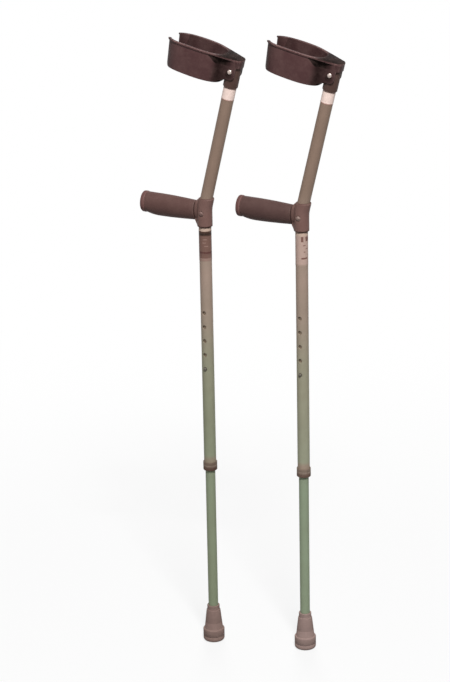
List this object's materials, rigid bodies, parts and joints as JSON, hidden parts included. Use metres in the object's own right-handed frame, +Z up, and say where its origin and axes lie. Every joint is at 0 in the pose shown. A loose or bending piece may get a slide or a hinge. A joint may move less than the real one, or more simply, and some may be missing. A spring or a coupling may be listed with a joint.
{
  "type": "pair of elbow crutches",
  "caption": "Pair of elbow crutches, each with a bent tube, a hinged open forearm cuff, a handle, a telescopic leg locked by a sprung button, and a rubber ferrule.",
  "frame": {"origin": "centre of the bounding box's base, at floor level under the pair", "axes": "+Z up along the legs, -X along both handles and towards the cuffs' mouths, -Y towards the adjustment holes"},
  "size_m": [0.3538, 0.1044, 1.0826],
  "materials": {
    "alloy": "anodised satin",
    "leg_alloy": "anodised satin",
    "cuff_plastic": "fine moulded grain",
    "grip_plastic": "matt",
    "ferrule_rubber": "matt",
    "steel": "bright plated"
  },
  "bodies": {
    "left_frame": {"left_main_tube": "alloy", "left_cuff_bracket": "cuff_plastic", "left_cuff_rivet": "steel", "left_cuff_rivet_washer": "steel", "left_handle_moulding": "grip_plastic", "left_hand_grip": "grip_plastic", "left_grip_end_cap": "grip_plastic", "left_handle_screw": "steel", "left_handle_nut": "steel", "left_leg_collar": "cuff_plastic"},
    "left_cuff": {"left_cuff": "cuff_plastic"},
    "left_leg": {"left_leg_tube": "leg_alloy", "left_leg_top_bush": "cuff_plastic", "left_leg_spring": "steel", "left_ferrule": "ferrule_rubber", "left_ferrule_washer": "steel"},
    "left_button": {"left_leg_snap_button": "steel"},
    "right_frame": {"right_main_tube": "alloy", "right_cuff_bracket": "cuff_plastic", "right_cuff_rivet": "steel", "right_cuff_rivet_washer": "steel", "right_handle_moulding": "grip_plastic", "right_hand_grip": "grip_plastic", "right_grip_end_cap": "grip_plastic", "right_handle_screw": "steel", "right_handle_nut": "steel", "right_leg_collar": "cuff_plastic"},
    "right_cuff": {"right_cuff": "cuff_plastic"},
    "right_leg": {"right_leg_tube": "leg_alloy", "right_leg_top_bush": "cuff_plastic", "right_leg_spring": "steel", "right_ferrule": "ferrule_rubber", "right_ferrule_washer": "steel"},
    "right_button": {"right_leg_snap_button": "steel"}
  },
  "joints": [
    {"name": "left_cuff_hinge", "type": "hinge", "parent": "left_frame", "child": "left_cuff", "pos_m": [-0.00205, -0.02, 1.03269], "axis": [0, 1, 0], "range_deg": [0, 25]},
    {"name": "left_leg_slide", "type": "slide", "parent": "left_frame", "child": "left_leg", "axis": [0, 0, 1], "range_m": [0, 0.1], "deforming": ["left_leg_snap_button", "left_leg_spring"]},
    {"name": "left_button_press", "type": "slide", "parent": "left_leg", "child": "left_button", "axis": [0, 1, 0], "range_m": [0, 0.0043], "stiffness_N_per_m": 2000, "springref_m": -0.002, "deforming": ["left_leg_spring"]},
    {"name": "pair_spread", "type": "slide", "parent": "left_frame", "child": "right_frame", "axis": [1, 0, 0], "range_m": [0, 0.3]},
    {"name": "right_cuff_hinge", "type": "hinge", "parent": "right_frame", "child": "right_cuff", "pos_m": [0.15795, 0.02, 1.03269], "axis": [0, 1, 0], "range_deg": [0, 25]},
    {"name": "right_leg_slide", "type": "slide", "parent": "right_frame", "child": "right_leg", "axis": [0, 0, 1], "range_m": [0, 0.1], "deforming": ["right_leg_snap_button", "right_leg_spring"]},
    {"name": "right_button_press", "type": "slide", "parent": "right_leg", "child": "right_button", "axis": [0, 1, 0], "range_m": [0, 0.0043], "stiffness_N_per_m": 2000, "springref_m": -0.002, "deforming": ["right_leg_spring"]}
  ]
}
